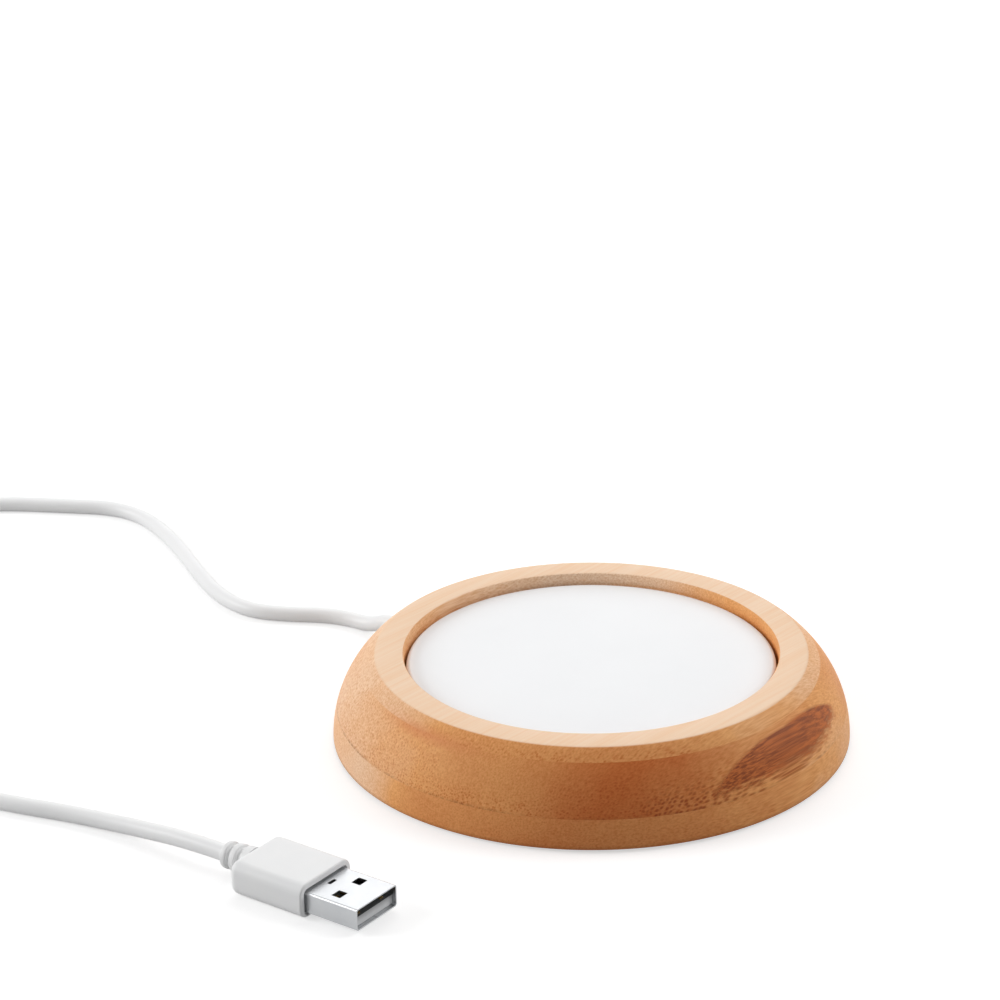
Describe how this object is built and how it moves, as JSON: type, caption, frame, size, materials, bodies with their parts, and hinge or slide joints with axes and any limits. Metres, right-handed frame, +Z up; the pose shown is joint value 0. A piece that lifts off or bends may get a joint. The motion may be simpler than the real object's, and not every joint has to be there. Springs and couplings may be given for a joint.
{
  "type": "electric mug warmer",
  "caption": "Round desk mug warmer: turned bamboo ring round a sprung heater plate, closed plastic base, thin white lead with a USB plug.",
  "frame": {"origin": "on the ring's axis, at the height of the table under the rubber feet", "axes": "+Z up along the ring's axis, +Y towards the side where the lead leaves"},
  "size_m": [0.167, 0.2509, 0.0183],
  "materials": {
    "bamboo_lower": "turned and oiled bamboo, plain ply",
    "bamboo_middle": "turned and oiled bamboo, dense fibres and a dark node",
    "bamboo_top": "turned and oiled bamboo, pale face ply",
    "base_plastic": "fine spark-eroded texture",
    "tray_plastic": "glass-filled, matt",
    "zinc_steel": "zinc plated",
    "spring_steel": "drawn wire",
    "plate_paint": "satin light grey paint on pressed steel",
    "polyimide_film": "amber film",
    "heater_foil": "etched resistance foil",
    "ceramic_felt": "pressed ceramic fibre",
    "fuse_case": "plated case",
    "switch_black": "moulded",
    "plunger_red": "moulded",
    "board_green": "solder mask",
    "chip_black": "moulded",
    "capacitor_tan": "fired",
    "header_white": "moulded",
    "wire_red": "PVC",
    "wire_black": "PVC",
    "lead_sleeve": "braided glass sleeve",
    "foot_rubber": "moulded",
    "cord_white": "satin PVC jacket",
    "tie_white": "soft strap",
    "plug_white": "satin overmould",
    "usb_steel": "bright nickel-plated steel",
    "tongue_white": "moulded",
    "contact_gold": "gold flash"
  },
  "bodies": {
    "base": {"ring_lower_ply": "bamboo_lower", "ring_middle_ply": "bamboo_middle", "ring_top_ply": "bamboo_top", "base_cover": "base_plastic", "rubber_foot_1": "foot_rubber", "rubber_foot_2": "foot_rubber", "rubber_foot_3": "foot_rubber", "rubber_foot_4": "foot_rubber", "cover_screws": "zinc_steel", "inner_tray": "tray_plastic", "tray_screws": "zinc_steel", "return_spring_1": "spring_steel", "return_spring_2": "spring_steel", "return_spring_3": "spring_steel", "micro_switch": "switch_black", "control_board": "board_green", "board_screws": "zinc_steel", "control_chip": "chip_black", "power_transistor": "chip_black", "board_resistors": "chip_black", "board_capacitors": "capacitor_tan", "supply_header": "header_white", "supply_wire_red": "wire_red", "supply_wire_black": "wire_black", "heater_lead_1": "lead_sleeve", "heater_lead_2": "lead_sleeve", "strain_relief": "cord_white", "lead_in_cord": "cord_white", "cord_clamp": "header_white", "clamp_screws": "zinc_steel", "cord_from_base": "cord_white", "cord_coil": "cord_white", "cord_tie": "tie_white", "cord_to_plug": "cord_white", "plug_overmould": "plug_white", "plug_collar": "plug_white", "usb_shell": "usb_steel", "usb_tongue": "tongue_white", "usb_contacts": "contact_gold"},
    "plate": {"heater_plate": "plate_paint", "heater_film": "polyimide_film", "heater_foil": "heater_foil", "insulation_pad": "ceramic_felt", "thermal_fuse": "fuse_case", "plate_carrier": "tray_plastic", "carrier_screws": "zinc_steel", "shoulder_screws": "zinc_steel"},
    "plunger": {"switch_plunger": "plunger_red"}
  },
  "joints": [
    {"name": "plate_slide", "type": "slide", "parent": "base", "child": "plate", "axis": [0, 0, -1], "range_m": [0, 0.001], "stiffness_N_per_m": 600, "springref_m": -0.003, "deforming": ["return_spring_1", "return_spring_2", "return_spring_3", "heater_lead_1", "heater_lead_2"]},
    {"name": "plunger_slide", "type": "slide", "parent": "base", "child": "plunger", "axis": [0, 0, -1], "range_m": [0, 0.001], "stiffness_N_per_m": 4, "springref_m": -0.001}
  ],
  "couplings": [
    {"joint": "plunger_slide", "follows": "plate_slide", "ratio": 1}
  ]
}
